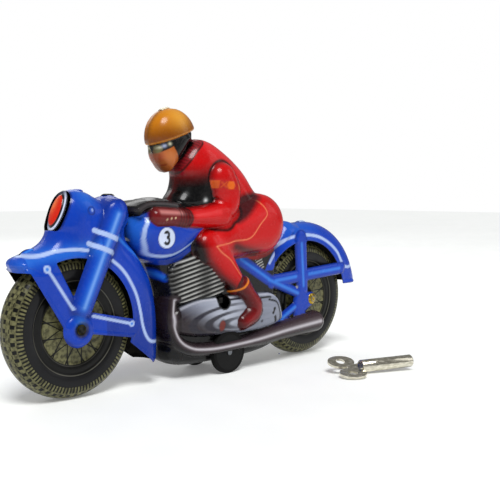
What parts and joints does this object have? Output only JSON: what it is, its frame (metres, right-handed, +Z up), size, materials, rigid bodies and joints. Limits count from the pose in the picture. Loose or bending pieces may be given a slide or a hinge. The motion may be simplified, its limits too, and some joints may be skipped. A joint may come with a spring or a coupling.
{
  "type": "wind-up tin motorcycle",
  "caption": "Pressed tin toy racing motorcycle with crouched rider, turning fork and wheels, geared clockwork under the engine and a separate winding key.",
  "frame": {"origin": "on the ground, on the centre seam, midway between the front and rear wheel axles", "axes": "+X to the rear of the motorcycle, +Y to its right side, +Z up"},
  "size_m": [0.2018, 0.0802, 0.1156],
  "materials": {
    "blue_tin": "glossy printed tin",
    "body_tin": "glossy printed tin",
    "wheel_tin": "glossy printed tin",
    "lens_red": "glossy printed tin",
    "bare_steel": "bright",
    "spring_steel": "blued",
    "brass": "bright",
    "drive_wheel_black": "satin",
    "drive_rubber": "matt",
    "nickel": "nickel plated"
  },
  "bodies": {
    "chassis": {"body_shell_left": "body_tin", "body_shell_right": "body_tin", "steering_bracket": "bare_steel", "rear_axle": "bare_steel", "rear_axle_eyelets": "brass", "motor_plate_left": "bare_steel", "motor_plate_right": "bare_steel", "motor_pillars": "bare_steel", "mainspring": "spring_steel"},
    "front_fork": {"front_shell_left": "blue_tin", "front_shell_right": "blue_tin", "headlamp_lens": "lens_red", "steering_pin": "bare_steel", "fork_crosspieces": "bare_steel", "front_axle": "bare_steel", "front_axle_eyelets": "brass"},
    "front_wheel": {"front_wheel_left": "wheel_tin", "front_wheel_right": "wheel_tin", "front_hub_tube": "bare_steel"},
    "rear_wheel": {"rear_wheel_left": "wheel_tin", "rear_wheel_right": "wheel_tin", "rear_hub_tube": "bare_steel"},
    "winding": {"winding_arbor": "bare_steel", "ratchet_wheel": "bare_steel", "mainspring_core": "bare_steel"},
    "main_drive": {"main_gear": "brass", "click_rivet": "bare_steel", "click_spring": "spring_steel"},
    "click": {"click": "bare_steel"},
    "second": {"second_arbor": "bare_steel", "second_pinion": "brass", "second_gear": "brass"},
    "governor": {"governor_arbor": "bare_steel", "governor_pinion": "brass", "governor_wheel": "bare_steel"},
    "drive": {"drive_axle": "bare_steel", "drive_pinion": "brass", "drive_wheel_left": "drive_wheel_black", "drive_wheel_right": "drive_wheel_black", "drive_tyre_left": "drive_rubber", "drive_tyre_right": "drive_rubber"},
    "key": {"key_tube": "nickel", "key_bow": "nickel"}
  },
  "joints": [
    {"name": "steering", "type": "hinge", "parent": "chassis", "child": "front_fork", "pos_m": [-0.049, 0, 0.077], "axis": [0.3515, 0, 0.9362], "range_deg": [-8, 8]},
    {"name": "front_wheel_spin", "type": "hinge", "parent": "front_fork", "child": "front_wheel", "pos_m": [-0.0674, 0, 0.028], "axis": [0, 1, 0], "continuous": true},
    {"name": "rear_wheel_spin", "type": "hinge", "parent": "chassis", "child": "rear_wheel", "pos_m": [0.0674, 0, 0.028], "axis": [0, 1, 0], "continuous": true},
    {"name": "drive_spin", "type": "hinge", "parent": "chassis", "child": "drive", "pos_m": [0.0085, 0, 0.0095], "axis": [0, 1, 0], "continuous": true},
    {"name": "second_spin", "type": "hinge", "parent": "chassis", "child": "second", "pos_m": [0.00263, 0, 0.01856], "axis": [0, 1, 0], "continuous": true},
    {"name": "main_gear_spin", "type": "hinge", "parent": "chassis", "child": "main_drive", "pos_m": [0.0048, 0, 0.0328], "axis": [0, 1, 0], "continuous": true},
    {"name": "governor_spin", "type": "hinge", "parent": "chassis", "child": "governor", "pos_m": [0.01283, 0, 0.01856], "axis": [0, 1, 0], "continuous": true},
    {"name": "winding_turn", "type": "hinge", "parent": "chassis", "child": "winding", "pos_m": [0.0048, 0, 0.0328], "axis": [0, 1, 0], "continuous": true},
    {"name": "click_swing", "type": "hinge", "parent": "main_drive", "child": "click", "pos_m": [-0.0026, 0, 0.034], "axis": [0, 1, 0], "range_deg": [-10, 0]},
    {"name": "key_lift", "type": "slide", "parent": "chassis", "child": "key", "axis": [0, 0, 1], "range_m": [0, 0.03]}
  ],
  "couplings": [
    {"joint": "second_spin", "follows": "drive_spin", "ratio": -0.38462},
    {"joint": "main_gear_spin", "follows": "drive_spin", "ratio": 0.10121},
    {"joint": "governor_spin", "follows": "drive_spin", "ratio": 1.25}
  ]
}
